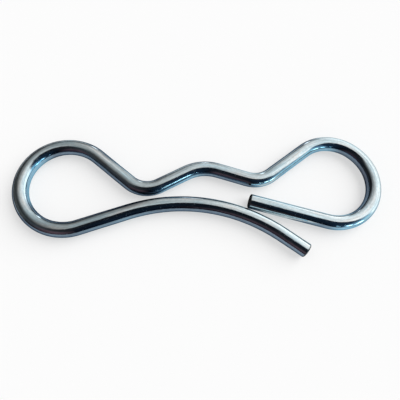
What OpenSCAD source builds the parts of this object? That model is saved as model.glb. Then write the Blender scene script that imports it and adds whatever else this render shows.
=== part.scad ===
// Hitch R clip pin of the double-loop kind, bent from one length of round spring wire.
// The wire lies flat on the XY plane. Its axis is a chain of round bends joined by straights that
// touch them. The pin leg lies below the wave, the wave's crest hugs a shaft, and the return leg
// comes back from the right loop to rest its cut tip on the pin leg.
// Heights in the plan run along Y, from the highest point of the pin leg's axis.

/* [Wire] */
// Diameter of the wire
wire_d = 3.2; // [2:0.1:4]
// Edge break round the two cut ends
end_break = 0.25; // [0.05:0.05:0.6]
// How much the wire thins where it is bent
bend_thinning = 0.01; // [0.005:0.005:0.05]
// How far each bend laps into the straights beside it
bend_lap = 0.05; // [0.02:0.01:0.2]

/* [Pin leg] */
// Radius of the pin leg's arch, at the wire's axis
arch_r = 35.3; // [28:0.1:45]
// Straight between the arch and the left loop
leg_run = 9.9; // [6:0.1:14]
// Angle at which the free end points down
leg_dip = 37.4; // [28:0.1:44]
// Straight at the free end, which enters the cross hole of a shaft
leg_end = 5.9; // [3:0.1:9]

/* [Loops] */
// Inside diameter of the left loop
left_loop_id = 14.8; // [11:0.1:20]
// Inside diameter of the right loop
right_loop_id = 15.4; // [11:0.1:20]
// Height of both loop centres
loop_height = 4.2; // [3:0.1:5.5]
// Straight between the left loop and the left valley
left_flank = 8.9; // [6:0.1:12]
// Straight between the right valley and the right loop
right_flank = 10.2; // [7:0.1:14]

/* [Wave] */
// Bend radius of the crest, at the wire's axis
crest_r = 9; // [6:0.1:12]
// Height of the crest, at the wire's axis
crest_height = 7.8; // [6.5:0.1:10]
// Bend radius of the left valley, at the wire's axis
left_valley_r = 5.5; // [4:0.1:8]
// Bend radius of the right valley, at the wire's axis
right_valley_r = 6; // [4:0.1:8]
// Straight between the left valley and the crest
left_wave_run = 6.4; // [4:0.1:9]
// Straight between the crest and the right valley
right_wave_run = 6.5; // [4:0.1:9]
// Clear height between the left valley and the top of the pin leg
leg_gap = 0.3; // [0.2:0.05:1]

/* [Return leg] */
// Place of the return tip on the arch, as an angle from the arch's highest point
tip_angle = 23; // [17:0.5:26]
// Clearance between the return tip and the pin leg
tip_gap = 0.12; // [0.1:0.01:0.5]
// Clear height between the return tip and the right valley
tip_headroom = 1.5; // [1:0.1:3]

/* [Hidden] */
$fn = 96;
wire_r = wire_d / 2;
left_r = left_loop_id / 2 + wire_r;
right_r = right_loop_id / 2 + wire_r;

// Distance along X between two bends of opposite turn that a straight joins, dy apart in height
function apart(r1, r2, straight, dy) = sqrt((r1 + r2) ^ 2 + straight ^ 2 - dy ^ 2);

// Each station is [x, y, radius]: a bend's centre and radius, above zero where the wire turns left
crest = [0, crest_height - crest_r, -crest_r];
left_valley_y = wire_d + leg_gap + left_valley_r;
left_valley = [
    -apart(left_valley_r, crest_r, left_wave_run, left_valley_y - crest.y),
    left_valley_y, left_valley_r
];
left_loop = [
    left_valley.x - apart(left_r, left_valley_r, left_flank, left_valley_y - loop_height),
    loop_height, -left_r
];
arch = [left_loop.x + apart(left_r, arch_r, leg_run, loop_height + arch_r), -arch_r, arch_r];

// The return tip sits on the arch, one wire and its clearance further out
tip_r = arch_r + wire_d + tip_gap;
return_tip = [arch.x + tip_r * sin(tip_angle), arch.y + tip_r * cos(tip_angle), 0];
right_valley_y = return_tip.y + wire_d + tip_headroom + right_valley_r;
right_valley = [
    apart(crest_r, right_valley_r, right_wave_run, right_valley_y - crest.y),
    right_valley_y, right_valley_r
];
right_loop = [
    right_valley.x + apart(right_valley_r, right_r, right_flank, right_valley_y - loop_height),
    loop_height, -right_r
];
leg_tip = [
    arch.x + arch_r * sin(leg_dip) + leg_end * cos(leg_dip),
    arch.y + arch_r * cos(leg_dip) - leg_end * sin(leg_dip), 0
];
stations = [leg_tip, arch, left_loop, left_valley, crest, right_valley, right_loop, return_tip];
last = len(stations) - 1;

// Heading of the straight from station i to the next, which touches both bends
function heading(i) =
    let (a = stations[i], b = stations[i + 1], d = [b.x - a.x, b.y - a.y])
    atan2(d.y, d.x) - asin((b.z - a.z) / norm(d));

// Point where a straight of heading h touches a station's bend
function touch(s, h) = [s.x + s.z * sin(h), s.y - s.z * cos(h)];

// Middle of the outline, which goes to the origin
middle_x = (left_loop.x - left_r + right_loop.x + right_r) / 2;
top_y = loop_height + max(left_r, right_r) + wire_r;
leg_tip_low = leg_tip.y - wire_r * cos(leg_dip) + end_break * min(sin(leg_dip), cos(leg_dip));
bottom_y = min(leg_tip_low, loop_height - max(left_r, right_r) - wire_r);
middle_y = (top_y + bottom_y) / 2;

// A straight from station i to the next, with its edge broken where it is a cut end
module straight(i) {
    h = heading(i);
    start = touch(stations[i], h);
    run = norm(touch(stations[i + 1], h) - start);
    first_break = i == 0 ? end_break : 0;
    last_break = i == last - 1 ? end_break : 0;
    translate(start)
        rotate([0, 90, h])
            rotate_extrude()
                polygon([
                    [0, 0], [wire_r - first_break, 0], if (first_break > 0) [wire_r, first_break],
                    if (last_break > 0) [wire_r, run - last_break], [wire_r - last_break, run], [0, run]
                ]);
}

// The bend at station i, lapped a little into the straights beside it
module bend(i) {
    s = stations[i];
    side = sign(s.z);
    enter = heading(i - 1);
    turn = ((heading(i) - enter) * side + 720) % 360;
    lap = bend_lap / abs(s.z) * 180 / PI;
    translate([s.x, s.y])
        rotate_extrude(start = enter - side * (90 + lap), angle = side * (turn + 2 * lap))
            translate([abs(s.z), 0])
                circle(d = wire_d - bend_thinning);
}

module spring_wire() {
    color([0.7, 0.75, 0.79])
        translate([-middle_x, -middle_y, wire_r]) {
            for (i = [0 : last - 1]) straight(i);
            for (i = [1 : last - 1]) bend(i);
        }
}

spring_wire();
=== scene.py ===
"""A double-loop R clip pin in zinc-plated spring wire, with the stage it is pictured on.

The wire is fed and bent along the same row of tangent bends as the solid in the frame,
then plated and lit.
"""

from collections import namedtuple
from math import asin, atan2, cos, hypot, pi, radians, sin, sqrt

import bmesh
import bpy
from bpy.props import FloatProperty, FloatVectorProperty, PointerProperty
from mathutils import Matrix, Vector, noise


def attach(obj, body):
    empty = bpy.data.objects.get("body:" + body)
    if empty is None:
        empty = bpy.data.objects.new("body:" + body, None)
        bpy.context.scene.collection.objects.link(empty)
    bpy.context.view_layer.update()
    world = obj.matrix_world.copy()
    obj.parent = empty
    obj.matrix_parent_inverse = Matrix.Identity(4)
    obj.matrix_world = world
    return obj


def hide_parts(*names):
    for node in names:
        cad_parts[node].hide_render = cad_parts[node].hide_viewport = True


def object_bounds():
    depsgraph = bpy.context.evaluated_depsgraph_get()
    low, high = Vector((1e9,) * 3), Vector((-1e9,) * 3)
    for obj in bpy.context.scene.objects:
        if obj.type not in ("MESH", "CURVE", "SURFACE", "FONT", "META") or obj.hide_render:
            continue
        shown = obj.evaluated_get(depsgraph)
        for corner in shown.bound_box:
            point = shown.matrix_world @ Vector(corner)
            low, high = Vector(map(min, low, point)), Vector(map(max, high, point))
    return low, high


bl_info = {
    "name": "Double-loop R clip pin",
    "version": (1, 0, 0),
    "blender": (4, 5, 0),
    "location": "3D View > Sidebar > R Clip",
    "description": "Bends and plates a double-loop R clip pin over its CAD frame, and sets its stage",
    "category": "Add Mesh",
}

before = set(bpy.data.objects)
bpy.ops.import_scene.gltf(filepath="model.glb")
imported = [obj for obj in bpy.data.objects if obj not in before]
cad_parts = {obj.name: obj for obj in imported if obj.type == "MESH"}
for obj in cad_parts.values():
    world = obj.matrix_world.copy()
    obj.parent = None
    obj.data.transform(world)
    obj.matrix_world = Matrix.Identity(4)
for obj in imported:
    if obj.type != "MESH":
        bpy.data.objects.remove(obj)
CAD_LOW, CAD_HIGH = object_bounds()
MID_HEIGHT = (CAD_LOW.z + CAD_HIGH.z) / 2

MM = 0.001
WHITE = (1.0, 1.0, 1.0)

# Names of the wire's attributes
UNBENT = "unbent"
CUT_FACE = "cut_face"
# Painted light and shade on the flanks, lighter where they face the right and darker where they face the
# left
PAINTED_SIDE = "painted_side"
# Painted light in the jaw by the return tip
JAW_SHEEN = "jaw_sheen"

# A stretch of the wire's axis: its run, the frame at its start, and its bend's radius or 0
Stretch = namedtuple("Stretch", "run start radius")
# Dips in the wire's surface: their width across the wire, their run along it, and their depth
Dips = namedtuple("Dips", "width run depth")
# Noise in the plating: its width across the wire, its run along it, and its detail
Grain = namedtuple("Grain", "width run detail")
# A value that goes from low to high as another one goes from start to end
Slope = namedtuple("Slope", "start end low high", defaults=(0, 1))
# A small light patch in the tent: its angles in degrees, how flat it is, and its glow, which may pass 1
Lamp = namedtuple("Lamp", "azimuth height width flatness glow")


# Settings


def length(name, description, millimetres):
    """A size of the clip, held in metres."""
    return FloatProperty(
        name=name, description=description, default=millimetres * MM, unit="LENGTH", precision=5
    )


def angle(name, description, degrees):
    """An angle, held in radians."""
    return FloatProperty(name=name, description=description, default=radians(degrees), unit="ROTATION")


def colour(name, description, value):
    """A colour, held as linear red, green and blue."""
    return FloatVectorProperty(
        name=name, description=description, default=value, size=3, min=0, max=1, subtype="COLOR"
    )


def factor(name, description, value):
    """A plain number."""
    return FloatProperty(name=name, description=description, default=value)


class ClipSizes(bpy.types.PropertyGroup):
    """Sizes of the bent wire: those that drive the solid, and the round of its ends."""

    wire: length("Wire", "Diameter of the spring wire", (CAD_HIGH.z - CAD_LOW.z) / MM)
    end_round: length("End round", "Radius of the tumbled rim at each cut end", 0.4)
    arch_r: length("Arch radius", "Bend of the pin leg's arch", 35.3)
    leg_run: length("Leg run", "Straight of the pin leg between its arch and the left loop", 9.9)
    leg_dip: angle("Leg dip", "Slope of the pin leg's free end", 37.4)
    leg_end: length("Leg end", "Straight at the pin leg's free end", 5.9)
    left_loop: length("Left loop", "Inside diameter of the left loop", 14.8)
    right_loop: length("Right loop", "Inside diameter of the right loop", 15.4)
    loop_height: length("Loop height", "Height of both loops' centres over the arch's top", 4.2)
    left_flank: length("Left flank", "Straight between the left loop and its valley", 8.9)
    right_flank: length("Right flank", "Straight between the right loop and its valley", 10.2)
    crest_r: length("Crest radius", "Bend of the crest between the valleys", 9.0)
    crest_height: length("Crest height", "Height of the crest over the arch's top", 7.8)
    left_valley_r: length("Left valley radius", "Bend of the left valley", 5.5)
    right_valley_r: length("Right valley radius", "Bend of the right valley", 6.0)
    left_wave: length("Left wave", "Straight between the left valley and the crest", 6.4)
    right_wave: length("Right wave", "Straight between the crest and the right valley", 6.5)
    leg_gap: length("Leg gap", "Gap between the left valley and the pin leg", 0.3)
    tip_angle: angle("Tip angle", "Where the return tip meets the arch", 23.0)
    tip_gap: length("Tip gap", "Gap between the return tip and the arch", 0.12)
    tip_headroom: length("Tip headroom", "Gap between the return tip and the right valley", 1.5)


class ZincFinish(bpy.types.PropertyGroup):
    """Colours and surface of the plating."""

    bright: colour("Bright zinc", "Plating where it is rubbed bright", (0.55, 0.625, 0.65))
    blue: colour("Blue zinc", "Unshaded plating where some blue film is left", (0.47, 0.59, 0.64))
    warm: colour("Warm zinc", "Unshaded plating where no film is left", (0.60, 0.62, 0.62))
    # Painted shade and light on the flanks, with its tints at grazing angles: darker than the plating's
    # own colour, lighter and bluer on flanks facing the right, darkest on some facing the left
    darker: colour("Darker film", "Painted film on the flanks that it drained to", (0.148, 0.20, 0.258))
    darkest: colour("Darkest film", "Painted film on the flanks where it dried last", (0.085, 0.10, 0.13))
    lighter: colour("Lighter film", "Painted film on the flanks that it drained from", (0.265, 0.465, 0.60))
    steel: colour("Cut steel", "Sheared steel at the wire's ends", (0.05, 0.052, 0.055))
    darker_rim: colour("Darker rim", "Tint of the thick film at grazing angles", (0.13, 0.165, 0.20))
    lighter_rim: colour("Lighter rim", "Tint of the thin film at grazing angles", (0.42, 0.62, 0.71))
    line_depth: length("Line depth", "Depth of the drawing lines", 0.0022)


class StageSettings(bpy.types.PropertyGroup):
    """Floor, light and camera."""

    floor: colour("Floor", "Pale floor", (0.96, 0.96, 0.96))
    backlight: factor("Backlight", "Share of the floor's brightness that comes from below", 0.5)
    world: factor("World level", "Level of the even light from all round", 0.5)
    key: factor("Key level", "Level of the soft key light", 2.3)
    key_azimuth: angle("Key azimuth", "Side of the key light, from the front towards the right", 115)
    key_height: angle("Key height", "Height of the key light", 42)
    key_spread: angle("Key spread", "Width of the key light", 60)
    tent: length("Tent radius", "Radius of the tent that the plating mirrors", 600)
    aim_x: length("Aim X", "Point of the clip's plane at the picture's middle", -1.264)
    aim_y: length("Aim Y", "Point of the clip's plane at the picture's middle", -0.849)
    azimuth: angle("Azimuth", "Camera's turn from the front towards the right", -16.711)
    elevation: angle("Elevation", "Camera's height", 70.12)
    roll: angle("Roll", "Camera's turn about its own axis", 14.414)
    distance: length("Distance", "Camera to the aimed point", 74.37)
    lens: factor("Lens", "Focal length for a 36 mm sensor, in millimetres", 32.12)


def aim_at(azimuth, elevation):
    """Direction of a point seen from the object, turned from the front towards the right and raised."""
    level = cos(elevation)
    return Vector((sin(azimuth) * level, -cos(azimuth) * level, sin(elevation)))


def limited(value):
    """The value, kept between nought and one."""
    return max(0, min(1, value))


# The wire's axis


def apart(first_r, second_r, straight, rise):
    """Distance along X between the centres of two opposite bends that a straight joins."""
    return sqrt((first_r + second_r) ** 2 + straight**2 - rise**2)


def clip_stations(size):
    """Bends of the wire's axis in order, between its two ends.

    X and Y are those of the bend's centre. Z is its radius: below zero where the wire turns right,
    and nought at an end.
    """
    wire = size.wire
    left_r = (size.left_loop + wire) / 2
    right_r = (size.right_loop + wire) / 2
    crest = Vector((0, size.crest_height - size.crest_r, -size.crest_r))

    y = wire + size.leg_gap + size.left_valley_r
    x = -apart(size.left_valley_r, size.crest_r, size.left_wave, y - crest.y)
    left_valley = Vector((x, y, size.left_valley_r))
    x -= apart(left_r, size.left_valley_r, size.left_flank, y - size.loop_height)
    left_loop = Vector((x, size.loop_height, -left_r))
    x += apart(left_r, size.arch_r, size.leg_run, size.loop_height + size.arch_r)
    arch = Vector((x, -size.arch_r, size.arch_r))

    reach = size.arch_r + wire + size.tip_gap
    tip = arch + Vector((reach * sin(size.tip_angle), reach * cos(size.tip_angle), -size.arch_r))
    y = tip.y + wire + size.tip_headroom + size.right_valley_r
    x = apart(size.crest_r, size.right_valley_r, size.right_wave, y - crest.y)
    right_valley = Vector((x, y, size.right_valley_r))
    x += apart(size.right_valley_r, right_r, size.right_flank, y - size.loop_height)
    right_loop = Vector((x, size.loop_height, -right_r))

    down, along = sin(size.leg_dip), cos(size.leg_dip)
    x = size.arch_r * down + size.leg_end * along
    y = size.arch_r * along - size.leg_end * down
    leg_end = arch + Vector((x, y, -size.arch_r))
    stations = [leg_end, arch, left_loop, left_valley, crest, right_valley, right_loop, tip]

    ends = left_loop.x - left_r, right_loop.x + right_r
    top = size.loop_height + max(left_r, right_r) + wire / 2
    to_frame = Vector(((CAD_LOW.x + CAD_HIGH.x - sum(ends)) / 2, CAD_HIGH.y - top, 0))
    return [station + to_frame for station in stations]


def heading_between(here, there):
    """Direction of the straight that leaves one bend and meets the next."""
    dx, dy = there.x - here.x, there.y - here.y
    return atan2(dy, dx) - asin((there.z - here.z) / hypot(dx, dy))


def touch(station, heading):
    """Where a straight of that heading touches a bend's axis."""
    x = station.x + station.z * sin(heading)
    y = station.y - station.z * cos(heading)
    return Vector((x, y, MID_HEIGHT))


def across(place, heading):
    """A frame at a place on the axis: X along the wire, Y to its left, Z up."""
    return Matrix.Translation(place) @ Matrix.Rotation(heading, 4, "Z")


def wire_route(size):
    """Stretches of the wire in order, from the pin leg's free end to the return tip."""
    stations = clip_stations(size)
    headings = [heading_between(here, there) for here, there in zip(stations, stations[1:])]
    route = []
    place = touch(stations[0], headings[0])
    for index, heading in enumerate(headings):
        bend = stations[index + 1]
        met = touch(bend, heading)
        route.append(Stretch((met - place).length, across(place, heading), 0))
        if index + 1 < len(headings):
            turned = headings[index + 1] - heading
            turned = turned % (2 * pi) if bend.z > 0 else -(-turned % (2 * pi))
            route.append(Stretch(turned * bend.z, across(met, heading), bend.z))
            place = touch(bend, headings[index + 1])
    return route


def frame_at(route, run):
    """The frame on the bent axis at a run along the straight wire."""
    for stretch in route:
        if run <= stretch.run or stretch is route[-1]:
            break
        run -= stretch.run
    if not stretch.radius:
        return stretch.start @ Matrix.Translation((run, 0, 0))
    centre = Matrix.Translation((0, stretch.radius, 0))
    return stretch.start @ centre @ Matrix.Rotation(run / stretch.radius, 4, "Z") @ centre.inverted()


# The wire's surface

SECTION_SIDES = 96
RING_SPACING = 0.25 * MM
RIM_SEGMENTS = 6
# Steps inwards on each cut face, as shares of the wire's radius
CUT_INSETS = (0.06, 0.14, 0.25, 0.25)
# How fast a cut's bare steel gives way to plating round its rim
CUT_FADE = 1.7

# Waves and lines left by drawing, and the peel of the plating
UNEVENNESS = (
    Dips(width=1.4 * MM, run=4.5 * MM, depth=0.016 * MM),
    Dips(width=0.45 * MM, run=9.0 * MM, depth=0.008 * MM),
    Dips(width=0.6 * MM, run=1.0 * MM, depth=0.006 * MM),
)

# The side that the flanks are painted lighter towards, and how much more painted light the flanks
# between the two sides and those at the back get towards the clip's right end, and how much more painted
# shade towards its left end
PAINTED_LIT_SIDE = aim_at(radians(82), 0)
PAINTED_SIDE_BETWEEN = 0.5
PAINTED_SIDE_BACK = 0.6

# The middle of the jaw, from the return tip, how far its painted light reaches, and the painted light on
# a side that is turned square to it, with how fast that grows as the side turns towards it
JAW_MIDDLE = Vector((5.5, -3.9, 0)) * MM
JAW_REACH = 10 * MM
JAW_SIDE_SHEEN = 0.3
JAW_SHEEN_RISE = 2


def cut_faces(bm):
    """The two round faces at the ends of the straight wire."""
    return [face for face in bm.faces if len(face.verts) == SECTION_SIDES]


def feed_wire(bm, run, size):
    """Straight wire along X, cropped at both ends, with rounded rims."""
    unbent = bm.verts.layers.float_vector.new(UNBENT)
    cut = bm.verts.layers.float.new(CUT_FACE)
    along = Matrix.Translation((run / 2, 0, 0)) @ Matrix.Rotation(pi / 2, 4, "Y")
    wire_r = size.wire / 2
    bmesh.ops.create_cone(
        bm, cap_ends=True, cap_tris=False, segments=SECTION_SIDES,
        radius1=wire_r, radius2=wire_r, depth=run, matrix=along,
    )
    rims = [edge for face in cut_faces(bm) for edge in face.edges]
    bmesh.ops.bevel(
        bm, geom=rims, offset=size.end_round, offset_type="OFFSET",
        segments=RIM_SEGMENTS, profile=0.5, affect="EDGES", material=-1,
    )
    ends = cut_faces(bm)
    for inset in CUT_INSETS:
        bmesh.ops.inset_region(bm, faces=ends, thickness=wire_r * inset)
    long_edges = [edge for edge in bm.edges if edge.calc_length() > run / 2]
    bmesh.ops.subdivide_edges(bm, edges=long_edges, cuts=round(run / RING_SPACING))
    for vert in bm.verts:
        from_end = min(vert.co.x, run - vert.co.x)
        vert[cut] = limited(CUT_FADE - CUT_FADE * from_end / size.end_round)
        vert[unbent] = vert.co


def work_surface(bm):
    """Gives the straight wire its faint unevenness, inwards from its true diameter."""
    cut = bm.verts.layers.float[CUT_FACE]
    bm.normal_update()
    sunk = {}
    for vert in bm.verts:
        run, left, up = vert.co
        depth = 0
        for dips in UNEVENNESS:
            dip = noise.noise((run / dips.run, left / dips.width, up / dips.width))
            depth += dips.depth * (1 + dip)
        sunk[vert] = vert.normal * depth * (1 - vert[cut])
    for vert, step in sunk.items():
        vert.co -= step


def bend_wire(bm, route):
    """Carries each point of the straight wire to its place on the bent one."""
    for vert in bm.verts:
        run, left, up = vert.co
        vert.co = frame_at(route, run) @ Vector((0, left, up))


def paint_side_light(bm):
    """Notes painted light and shade on the flanks, from the way each of them faces.

    The note is near 1 on the flanks painted lightest, facing the right, and below nought on those
    painted darkest, facing the left.
    """
    painted_side = bm.verts.layers.float.new(PAINTED_SIDE)
    bm.normal_update()
    for vert in bm.verts:
        flat = (vert.normal * Vector((1, 1, 0))).normalized()
        facing = PAINTED_LIT_SIDE.dot(flat)
        to_right = vert.co.x / CAD_HIGH.x
        between = PAINTED_SIDE_BETWEEN * (1 + facing) ** 2 * (1 - facing) * to_right
        back = PAINTED_SIDE_BACK * max(0, flat.y) * to_right
        vert[painted_side] = facing + between + back


def paint_jaw_sheen(bm, tip):
    """Notes painted light in the jaw by the return tip, where the sides get the bright plating.

    The sides that face its middle get it fully to half the reach, and not at all beyond it.
    """
    jaw_sheen = bm.verts.layers.float.new(JAW_SHEEN)
    for vert in bm.verts:
        inwards = tip + JAW_MIDDLE - vert.co
        near = limited(2 - 2 * inwards.length / JAW_REACH)
        facing = vert.normal.dot(inwards.normalized())
        vert[jaw_sheen] = near * limited(JAW_SIDE_SHEEN + JAW_SHEEN_RISE * facing)


# Shader nodes

# Sockets of a Mix node that mixes colours
MIX_SHARE = 0
MIX_FIRST = 6
MIX_SECOND = 7
MIX_RESULT = 2

GRAIN_ROUGHNESS = 0.6


def put(tree, kind, inputs=None, **settings):
    """A shader node of that kind with its settings and its inputs, linked or plain."""
    node = tree.nodes.new(kind)
    for name, value in settings.items():
        setattr(node, name, value)
    for name, value in (inputs or {}).items():
        if isinstance(value, bpy.types.NodeSocket):
            tree.links.new(value, node.inputs[name])
        else:
            node.inputs[name].default_value = value
    return node


def maths(tree, operation, first, second=0.5):
    """The output of a Math node, whose second value is idle in an operation on one."""
    return put(tree, "ShaderNodeMath", {0: first, 1: second}, operation=operation).outputs[0]


def spread(tree, value, slope, smooth=False):
    """The output of a Map Range node that follows a slope."""
    kind = "SMOOTHSTEP" if smooth else "LINEAR"
    inputs = {
        "Value": value, "From Min": slope.start, "From Max": slope.end,
        "To Min": slope.low, "To Max": slope.high,
    }
    return put(tree, "ShaderNodeMapRange", inputs, interpolation_type=kind, clamp=True).outputs["Result"]


def blend(tree, share, first, second):
    """The colour output of a Mix node."""
    inputs = {MIX_SHARE: share, MIX_FIRST: first, MIX_SECOND: second}
    return put(tree, "ShaderNodeMix", inputs, data_type="RGBA").outputs[MIX_RESULT]


def solid(rgb):
    """A colour with full alpha."""
    return (*rgb, 1.0)


def noted(tree, name):
    """The value of one of the wire's attributes."""
    return put(tree, "ShaderNodeAttribute", attribute_name=name).outputs["Fac"]


def grained(tree, place, grain):
    """Noise that is stretched along the unbent wire."""
    scale = (1 / grain.run, 1 / grain.width, 1 / grain.width)
    scaled = put(tree, "ShaderNodeMapping", {"Vector": place, "Scale": scale}).outputs["Vector"]
    inputs = {"Vector": scaled, "Scale": 1.0, "Detail": grain.detail, "Roughness": GRAIN_ROUGHNESS}
    return put(tree, "ShaderNodeTexNoise", inputs).outputs["Fac"]


def fresh_material(name):
    """A material with only its output node."""
    material = bpy.data.materials.new(name)
    material.use_nodes = True
    material.node_tree.nodes.clear()
    return material, put(material.node_tree, "ShaderNodeOutputMaterial")


# The plating

LINES = Grain(width=0.11 * MM, run=26 * MM, detail=3)
FILM = Grain(width=1.3 * MM, run=7 * MM, detail=4)
PITS = Grain(width=0.16 * MM, run=0.3 * MM, detail=2)
STREAKS = Grain(width=0.34 * MM, run=9 * MM, detail=2)
MOTTLE = Grain(width=0.4 * MM, run=0.7 * MM, detail=2)
SPECKS = Grain(width=0.32 * MM, run=0.8 * MM, detail=3)

# Where the film's noise turns the rubbed plating blue or warm
BLUE_PATCHES = Slope(0.48, 0.62)
WARM_PATCHES = Slope(0.46, 0.34)

# How ragged the film's noise leaves the edges of the painted shade, and where the flanks are painted
# lighter, darkest, or left with the bright plating
PAINTED_SIDE_RAGGED = Slope(0.3, 0.7, -0.1, 0.1)
UNSHADED_RAGGED = Slope(0.3, 0.7, -0.12, 0.12)
LIGHTENED = Slope(-0.05, 0.65)
DARKEST = Slope(-0.5, -1)
UNSHADED = Slope(0.6, 0.92)
# The bright plating reaches further down the wire's sides where they are painted lighter, and less far
# where they are painted darkest
LIGHTENED_LIFT = 0.13
DARKEST_DROP = 0.08

# What the fine grain does to the plating's shade and dullness
STREAK_SHADE = Slope(0.35, 0.65, 0.82, 1.20)
MOTTLE_SHADE = Slope(0.35, 0.65, 0.93, 1.09)
LINE_DULLNESS = Slope(0.3, 0.7, 0.05, 0.11)
PIT_DULLNESS = Slope(0.45, 0.75, 0, 0.06)
SPECK_DULLNESS = Slope(0.54, 0.70, 0, 0.17)
CUT_DULLNESS = 0.3
PIT_RELIEF = 0.6


def zinc_plate(finish, wire_r):
    """Bright zinc over drawn wire: drawing lines, patchy tints, painted shade and light on the flanks,
    and dull cut ends.
    """
    material, output = fresh_material("zinc_plate")
    tree = material.node_tree
    place = put(tree, "ShaderNodeAttribute", attribute_name=UNBENT).outputs["Vector"]
    cut = noted(tree, CUT_FACE)
    lines = grained(tree, place, LINES)
    pits = grained(tree, place, PITS)
    shade, rim = plate_colours(tree, finish, place, wire_r)
    plate = put(
        tree, "ShaderNodeBsdfPrincipled",
        {
            "Base Color": blend(tree, cut, shade, solid(finish.steel)),
            "Metallic": 1.0,
            "Roughness": plate_dullness(tree, place, lines, pits, cut),
            "Specular Tint": blend(tree, cut, rim, solid(finish.steel)),
            "Normal": plate_relief(tree, finish.line_depth, lines, pits),
        },
    )
    tree.links.new(plate.outputs["BSDF"], output.inputs["Surface"])
    return material


def plate_colours(tree, finish, place, wire_r):
    """The plating's colour face on, and its tint at grazing angles.

    Both are the bright plating on the wire's top and bottom, and take painted shade and light on the
    flanks.
    """
    film = grained(tree, place, FILM)
    blue = spread(tree, film, BLUE_PATCHES, smooth=True)
    warm = spread(tree, film, WARM_PATCHES, smooth=True)
    bright = blend(tree, blue, solid(finish.bright), solid(finish.blue))
    bright = blend(tree, warm, bright, solid(finish.warm))

    # Painted light and shade on the flanks: lighter and bluer where they face the right
    painted_side = maths(tree, "ADD", noted(tree, PAINTED_SIDE), spread(tree, film, PAINTED_SIDE_RAGGED))
    lightened = spread(tree, painted_side, LIGHTENED, smooth=True)
    # Painted shade: darkest on flanks that face the left, and on back-facing ones towards the left end
    darkest = spread(tree, painted_side, DARKEST)
    painted_flank = blend(tree, lightened, solid(finish.darker), solid(finish.lighter))
    painted_flank = blend(tree, darkest, painted_flank, solid(finish.darkest))
    rim = blend(tree, lightened, solid(finish.darker_rim), solid(finish.lighter_rim))
    rim = blend(tree, darkest, rim, solid(finish.darkest))

    # Painted shade: the flanks take the colours above, and the top and bottom of the wire keep the
    # bright plating
    height = put(tree, "ShaderNodeSeparateXYZ", {0: place}).outputs["Z"]
    height = maths(tree, "DIVIDE", maths(tree, "ABSOLUTE", height), wire_r)
    height = maths(tree, "ADD", height, spread(tree, film, UNSHADED_RAGGED))
    height = maths(tree, "ADD", height, maths(tree, "MULTIPLY", lightened, LIGHTENED_LIFT))
    height = maths(tree, "SUBTRACT", height, maths(tree, "MULTIPLY", darkest, DARKEST_DROP))
    # Painted light in the jaw by the return tip: its sides keep the bright plating
    height = maths(tree, "ADD", height, noted(tree, JAW_SHEEN))
    unshaded = spread(tree, height, UNSHADED, smooth=True)
    shade = blend(tree, unshaded, painted_flank, bright)
    rim = blend(tree, unshaded, rim, solid(finish.bright))

    streaks = spread(tree, grained(tree, place, STREAKS), STREAK_SHADE)
    mottle = spread(tree, grained(tree, place, MOTTLE), MOTTLE_SHADE)
    inputs = {0: shade, "Scale": maths(tree, "MULTIPLY", streaks, mottle)}
    shade = put(tree, "ShaderNodeVectorMath", inputs, operation="SCALE").outputs["Vector"]
    return shade, rim


def plate_dullness(tree, place, lines, pits, cut):
    """The plating's roughness: duller in lines, pits and specks, and all over the cut ends."""
    dull = spread(tree, lines, LINE_DULLNESS)
    dull = maths(tree, "ADD", dull, spread(tree, pits, PIT_DULLNESS))
    dull = maths(tree, "ADD", dull, spread(tree, grained(tree, place, SPECKS), SPECK_DULLNESS))
    return maths(tree, "ADD", dull, maths(tree, "MULTIPLY", cut, CUT_DULLNESS))


def plate_relief(tree, depth, lines, pits):
    """The plating's normal, with its drawing lines and pits."""
    inputs = {"Strength": 1.0, "Distance": depth, "Height": lines}
    normal = put(tree, "ShaderNodeBump", inputs).outputs["Normal"]
    inputs = {"Strength": PIT_RELIEF, "Distance": depth, "Height": pits, "Normal": normal}
    return put(tree, "ShaderNodeBump", inputs).outputs["Normal"]


# The floor and the tent

# Places in the tent are read as on a flat map with straight up at its middle: side goes from -1
# at the left to 1 at the right, and back from -1 at the front to 1 at the back, at floor level.
WHOLE_WIDTH = Slope(-1, 1)

# The edge of the lit cloth, which slants forwards to both sides
LIT_EDGE = Slope(-0.035, 0.055)
LIT_SLANT_RIGHT = 0.27
LIT_SLANT_LEFT = -0.3
# The lit cloth's level, and where it is dimmer
LIT_LEVEL = Slope(-0.42, 0.52, 0.04, 1.6)
DIM_NEAR_FLOOR = Slope(0.05, 0.3, 0.4, 1)
DIM_FAR_BACK = Slope(0.45, 0.95, 1, 0.5)
NOT_DIM_RIGHT = Slope(0.28, 0.38)
FOLD_SIDE = Slope(-0.34, -0.1, 0.4, 1)
FOLD_BACK = Slope(0.1, 0.22, 0.4, 1)
LEAST_LEVEL = Slope(-0.45, -0.85, 0.05, 0.13)

# The unlit cloth from left to right, as stops of a ramp, and a brown patch at its front left
DARK_STOPS = (
    (0.27, (0.060, 0.066, 0.076)),
    (0.45, (0.019, 0.019, 0.024)),
    (0.50, (0.006, 0.009, 0.015)),
    (0.68, (0.015, 0.036, 0.070)),
    (0.76, (0.180, 0.330, 0.480)),
    (0.86, (0.500, 0.850, 1.000)),
)
BROWN = (0.150, 0.088, 0.105)
BROWN_MIDDLE = aim_at(radians(-32), radians(16))
BROWN_FLATNESS = 1.1
BROWN_FADE = Slope(0.62, 0.2)

LAMPS = (
    Lamp(azimuth=40, height=13, width=7, flatness=1.2, glow=(3.5, 5.4, 6.0)),
    Lamp(azimuth=55, height=7, width=9, flatness=1.4, glow=(3.5, 5.4, 6.0)),
    Lamp(azimuth=23, height=17, width=3, flatness=1.2, glow=(2.5, 4.2, 5.0)),
    Lamp(azimuth=173, height=6, width=5, flatness=0.8, glow=(3.2, 3.3, 3.4)),
)
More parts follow.
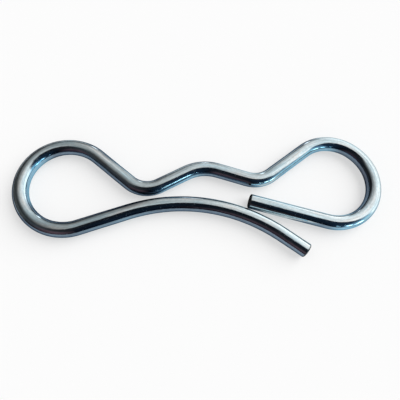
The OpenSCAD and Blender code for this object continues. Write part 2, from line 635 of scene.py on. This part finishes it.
# A lamp's full glow fills its width divided by this
LAMP_CORE = 3


def seen_directly(tree):
    """One for the rays that show a background: from the camera, and by way of metal or glass."""
    rays = put(tree, "ShaderNodeLightPath").outputs
    seen = maths(tree, "MAXIMUM", rays["Is Camera Ray"], rays["Is Glossy Ray"])
    return maths(tree, "MAXIMUM", seen, rays["Is Transmission Ray"])


def pale_floor(stage):
    """A matt pale floor, lit a little from below where it is seen, so the clip's shadow is faint."""
    material, output = fresh_material("pale_floor")
    tree = material.node_tree
    paint = put(tree, "ShaderNodeBsdfDiffuse", {"Color": solid(stage.floor)})
    backlight = put(tree, "ShaderNodeEmission", {"Color": solid(WHITE), "Strength": 1.0})
    share = maths(tree, "MULTIPLY", seen_directly(tree), stage.backlight)
    floor = put(tree, "ShaderNodeMixShader", {0: share, 1: paint.outputs[0], 2: backlight.outputs[0]})
    tree.links.new(floor.outputs[0], output.inputs["Surface"])
    return material


def tent_cloth():
    """The tent's cloth: lit at the back, brighter to the right, dark at the front, with small lamps."""
    material, output = fresh_material("tent_cloth")
    tree = material.node_tree
    place = put(tree, "ShaderNodeTexCoord").outputs["Object"]
    towards = put(tree, "ShaderNodeVectorMath", {0: place}, operation="NORMALIZE").outputs["Vector"]
    x, y, z = put(tree, "ShaderNodeSeparateXYZ", {0: towards}).outputs
    depth = maths(tree, "ADD", z, 1.0)
    side = maths(tree, "DIVIDE", x, depth)
    back = maths(tree, "DIVIDE", y, depth)

    slant_right = maths(tree, "MULTIPLY", side, LIT_SLANT_RIGHT)
    slant_left = maths(tree, "MULTIPLY", side, LIT_SLANT_LEFT)
    slant = maths(tree, "MAXIMUM", slant_right, slant_left)
    lit = spread(tree, maths(tree, "ADD", back, slant), LIT_EDGE, smooth=True)
    cloth = blend(tree, lit, dark_cloth(tree, side, towards), lit_cloth(tree, side, back, z))
    for lamp in LAMPS:
        middle = aim_at(radians(lamp.azimuth), radians(lamp.height))
        fade = Slope(radians(lamp.width), radians(lamp.width) / LAMP_CORE)
        shape = patch(tree, towards, middle, lamp.flatness, fade)
        cloth = blend(tree, shape, cloth, solid(lamp.glow))
    glow = put(tree, "ShaderNodeEmission", {"Color": cloth})
    tree.links.new(glow.outputs["Emission"], output.inputs["Surface"])
    return material


def lit_cloth(tree, side, back, z):
    """White cloth, brighter to the right, dimmer near the floor, far back and in a fold at the left."""
    dim = spread(tree, z, DIM_NEAR_FLOOR, smooth=True)
    dim = maths(tree, "MULTIPLY", dim, spread(tree, back, DIM_FAR_BACK))
    dim = maths(tree, "MAXIMUM", dim, spread(tree, side, NOT_DIM_RIGHT, smooth=True))
    fold = maths(tree, "MAXIMUM", spread(tree, side, FOLD_SIDE), spread(tree, back, FOLD_BACK))
    level = maths(tree, "MULTIPLY", spread(tree, side, LIT_LEVEL), dim)
    level = maths(tree, "MULTIPLY", level, fold)
    level = maths(tree, "MAXIMUM", level, spread(tree, side, LEAST_LEVEL))
    inputs = {"Red": level, "Green": level, "Blue": level}
    return put(tree, "ShaderNodeCombineColor", inputs).outputs["Color"]


def dark_cloth(tree, side, towards):
    """Cloth that the light doesn't reach: grey at the left, black in the middle, blue at the right."""
    cloth = put(tree, "ShaderNodeValToRGB", {"Fac": spread(tree, side, WHOLE_WIDTH)})
    stops = cloth.color_ramp.elements
    while len(stops) < len(DARK_STOPS):
        stops.new(1)
    for stop, (place, rgb) in zip(stops, DARK_STOPS):
        stop.position = place
        stop.color = solid(rgb)
    brown = patch(tree, towards, BROWN_MIDDLE, BROWN_FLATNESS, BROWN_FADE)
    return blend(tree, brown, cloth.outputs["Color"], solid(BROWN))


def patch(tree, towards, middle, flatness, fade):
    """One inside a soft oval patch of the tent round a direction, and nought outside it."""
    off = put(tree, "ShaderNodeVectorMath", {0: towards, 1: middle}, operation="SUBTRACT")
    inputs = {0: off.outputs["Vector"], 1: (1, 1, flatness)}
    off = put(tree, "ShaderNodeVectorMath", inputs, operation="MULTIPLY")
    off = put(tree, "ShaderNodeVectorMath", {0: off.outputs["Vector"]}, operation="LENGTH")
    return spread(tree, off.outputs["Value"], fade, smooth=True)


# Objects

FLOOR_SIDES = 96
FLOOR_RADIUS = 3.0
TENT_SIDES = 64
TENT_RINGS = 32
# How far the tent hangs below the floor, as a share of its radius
TENT_SKIRT = 0.1
TENT_HIDDEN_FROM = ("camera", "diffuse", "shadow", "transmission", "volume_scatter")
SENSOR_WIDTH = 36


def add_object(context, name, bm, material):
    """A smooth-shaded mesh object at the origin, from a bmesh that is used up."""
    mesh = bpy.data.meshes.new(name)
    bm.to_mesh(mesh)
    bm.free()
    mesh.shade_smooth()
    mesh.materials.append(material)
    made = bpy.data.objects.new(name, mesh)
    context.collection.objects.link(made)
    return made


class RCLIP_OT_bend_wire(bpy.types.Operator):
    """Bend the spring wire in one piece and plate it"""

    bl_idname = "rclip.bend_wire"
    bl_label = "Bend the wire"
    bl_options = {"REGISTER", "UNDO"}

    def execute(self, context):
        sizes = context.scene.clip_sizes
        route = wire_route(sizes)
        run = sum(stretch.run for stretch in route)
        bm = bmesh.new()
        feed_wire(bm, run, sizes)
        work_surface(bm)
        bend_wire(bm, route)
        paint_side_light(bm)
        paint_jaw_sheen(bm, frame_at(route, run).translation)
        plating = zinc_plate(context.scene.clip_finish, sizes.wire / 2)
        wire = add_object(context, "plated_wire", bm, plating)
        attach(wire, "root")
        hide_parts("spring_wire")
        return {"FINISHED"}


class RCLIP_OT_set_stage(bpy.types.Operator):
    """Lay the floor, hang the tent, and place the light and the camera"""

    bl_idname = "rclip.set_stage"
    bl_label = "Set the stage"
    bl_options = {"REGISTER", "UNDO"}

    def execute(self, context):
        stage = context.scene.clip_stage
        self.lay_floor(context, stage)
        self.hang_tent(context, stage)
        self.place_key_light(context, stage)
        self.light_world(context, stage)
        self.place_camera(context, stage)
        context.scene.view_settings.view_transform = "Standard"
        return {"FINISHED"}

    def lay_floor(self, context, stage):
        """A wide round floor under the clip."""
        bm = bmesh.new()
        under = Matrix.Translation((0, 0, CAD_LOW.z))
        bmesh.ops.create_circle(
            bm, cap_ends=True, segments=FLOOR_SIDES, radius=FLOOR_RADIUS, matrix=under
        )
        add_object(context, "floor", bm, pale_floor(stage))

    def hang_tent(self, context, stage):
        """A dome over the clip that only reflections see."""
        bm = bmesh.new()
        bmesh.ops.create_uvsphere(bm, u_segments=TENT_SIDES, v_segments=TENT_RINGS, radius=stage.tent)
        below = [vert for vert in bm.verts if vert.co.z < -TENT_SKIRT * stage.tent]
        bmesh.ops.delete(bm, geom=below, context="VERTS")
        tent = add_object(context, "light_tent", bm, tent_cloth())
        for ray in TENT_HIDDEN_FROM:
            setattr(tent, f"visible_{ray}", False)

    def place_key_light(self, context, stage):
        """A soft key light that the plating doesn't mirror."""
        lamp = bpy.data.lights.new("key_light", "SUN")
        lamp.energy = stage.key
        lamp.angle = stage.key_spread
        key = bpy.data.objects.new("key_light", lamp)
        towards = aim_at(stage.key_azimuth, stage.key_height)
        key.rotation_euler = towards.to_track_quat("Z", "Y").to_euler()
        key.visible_glossy = False
        context.collection.objects.link(key)

    def light_world(self, context, stage):
        """Even light from all round, which is white where it is seen."""
        world = bpy.data.worlds.new("pale_world")
        world.use_nodes = True
        tree = world.node_tree
        background = tree.nodes["Background"]
        background.inputs["Color"].default_value = solid(WHITE)
        strength = spread(tree, seen_directly(tree), Slope(0, 1, stage.world, 1))
        tree.links.new(strength, background.inputs["Strength"])
        context.scene.world = world

    def place_camera(self, context, stage):
        """The camera, at the picture's viewing angle."""
        camera = bpy.data.objects.new("camera", bpy.data.cameras.new("camera"))
        back = aim_at(stage.azimuth, stage.elevation)
        aim = Vector((stage.aim_x, stage.aim_y, MID_HEIGHT))
        turn = back.to_track_quat("Z", "Y").to_matrix().to_4x4() @ Matrix.Rotation(stage.roll, 4, "Z")
        camera.matrix_world = Matrix.Translation(aim + back * stage.distance) @ turn
        camera.data.sensor_width = SENSOR_WIDTH
        camera.data.lens = stage.lens
        camera.data.clip_start = MM
        context.collection.objects.link(camera)
        context.scene.camera = camera


class RCLIP_PT_clip(bpy.types.Panel):
    """Lists the clip's sizes, finish and stage with the steps that use them"""

    bl_label = "R clip pin"
    bl_idname = "RCLIP_PT_clip"
    bl_space_type = "VIEW_3D"
    bl_region_type = "UI"
    bl_category = "R Clip"

    def draw(self, context):
        steps = {
            "clip_sizes": None,
            "clip_finish": RCLIP_OT_bend_wire,
            "clip_stage": RCLIP_OT_set_stage,
        }
        for group_name, step in steps.items():
            group = getattr(context.scene, group_name)
            box = self.layout.box()
            for name in group.__annotations__:
                box.prop(group, name)
            if step:
                box.operator(step.bl_idname)


CLASSES = (ClipSizes, ZincFinish, StageSettings, RCLIP_OT_bend_wire, RCLIP_OT_set_stage, RCLIP_PT_clip)
GROUPS = {"clip_sizes": ClipSizes, "clip_finish": ZincFinish, "clip_stage": StageSettings}


def register():
    """Adds the classes to Blender, and the settings to its scenes."""
    for part in CLASSES:
        bpy.utils.register_class(part)
    for name, group in GROUPS.items():
        setattr(bpy.types.Scene, name, PointerProperty(type=group))


def unregister():
    """Takes out what register added."""
    for name in GROUPS:
        delattr(bpy.types.Scene, name)
    for part in reversed(CLASSES):
        bpy.utils.unregister_class(part)


def main():
    """Builds the clip and its stage."""
    register()
    bpy.ops.rclip.bend_wire()
    bpy.ops.rclip.set_stage()


if __name__ == "__main__":
    main()
